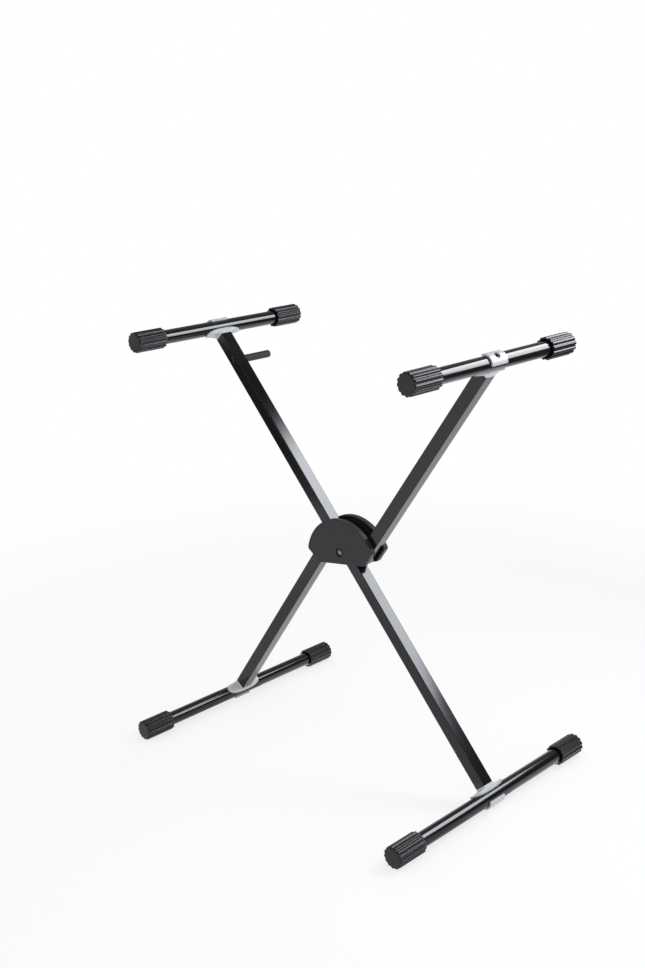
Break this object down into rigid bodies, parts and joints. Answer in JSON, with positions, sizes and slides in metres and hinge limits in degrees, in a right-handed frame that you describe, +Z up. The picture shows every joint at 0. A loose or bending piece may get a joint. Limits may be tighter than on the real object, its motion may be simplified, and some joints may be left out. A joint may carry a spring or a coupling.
{
  "type": "keyboard stand",
  "caption": "Folding cross-frame keyboard stand with ribbed rubber bar caps, half-moon pivot covers and a pull peg that frees the height lock",
  "frame": {"origin": "on the floor under the middle of the stand, half way between the floor bars and half way along them", "axes": "+Z up, +X from the left bars to the right bars, +Y along the bars from front to rear, the side that the release peg points to"},
  "size_m": [0.67, 0.479, 0.7584],
  "materials": {
    "black_enamel": "gloss black enamel on steel tube",
    "shell_plastic": "finely textured black-grey moulding",
    "black_plastic": "satin black moulding",
    "bearing_plastic": "black acetal, seen only through the arm's slots",
    "cap_rubber": "satin black rubber",
    "cast_grey": "cast, light grey, satin",
    "blackened_steel": "blackened and oiled",
    "zinc_steel": "dulled zinc plate",
    "spring_steel": "plain spring wire, hidden inside the arm"
  },
  "bodies": {
    "link_frame": {"upper_link_tube": "black_enamel", "lower_link_tube": "black_enamel", "front_hub_plate": "blackened_steel", "rear_hub_plate": "blackened_steel", "front_shell": "shell_plastic", "rear_shell": "shell_plastic", "pivot_bolt": "zinc_steel", "pivot_nut": "zinc_steel", "upper_link_plug": "black_plastic", "lower_link_plug": "black_plastic", "upper_link_rivet_1": "blackened_steel", "upper_link_rivet_2": "blackened_steel", "lower_link_rivet_1": "blackened_steel", "lower_link_rivet_2": "blackened_steel", "right_top_bar": "black_enamel", "right_top_saddle": "cast_grey", "right_top_clamp_plate": "cast_grey", "right_top_screw": "blackened_steel", "right_top_front_cap": "cap_rubber", "right_top_rear_cap": "cap_rubber", "left_floor_bar": "black_enamel", "left_floor_saddle": "cast_grey", "left_floor_clamp_plate": "cast_grey", "left_floor_screw": "blackened_steel", "left_floor_front_cap": "cap_rubber", "left_floor_rear_cap": "cap_rubber"},
    "main_arm": {"main_arm_tube": "black_enamel", "pivot_bush": "bearing_plastic", "spring_stop": "bearing_plastic", "left_top_bar": "black_enamel", "left_top_saddle": "cast_grey", "left_top_clamp_plate": "cast_grey", "left_top_screw": "blackened_steel", "left_top_front_cap": "cap_rubber", "left_top_rear_cap": "cap_rubber", "right_floor_bar": "black_enamel", "right_floor_saddle": "cast_grey", "right_floor_clamp_plate": "cast_grey", "right_floor_screw": "blackened_steel", "right_floor_front_cap": "cap_rubber", "right_floor_rear_cap": "cap_rubber"},
    "height_lock": {"lock_pin": "zinc_steel", "pin_carrier": "bearing_plastic", "pull_rod": "zinc_steel", "peg_block": "bearing_plastic", "peg_bolt": "blackened_steel", "peg_grip": "cap_rubber", "return_spring": "spring_steel"}
  },
  "joints": [
    {"name": "fold", "type": "hinge", "parent": "link_frame", "child": "main_arm", "pos_m": [0, 0, 0.37921], "axis": [0, -1, 0], "range_deg": [-77.34, 15.47]},
    {"name": "release_pull", "type": "slide", "parent": "main_arm", "child": "height_lock", "axis": [-0.6499, 0, 0.76], "range_m": [0, 0.008], "stiffness_N_per_m": 1000, "springref_m": -0.012, "deforming": ["return_spring"]}
  ]
}
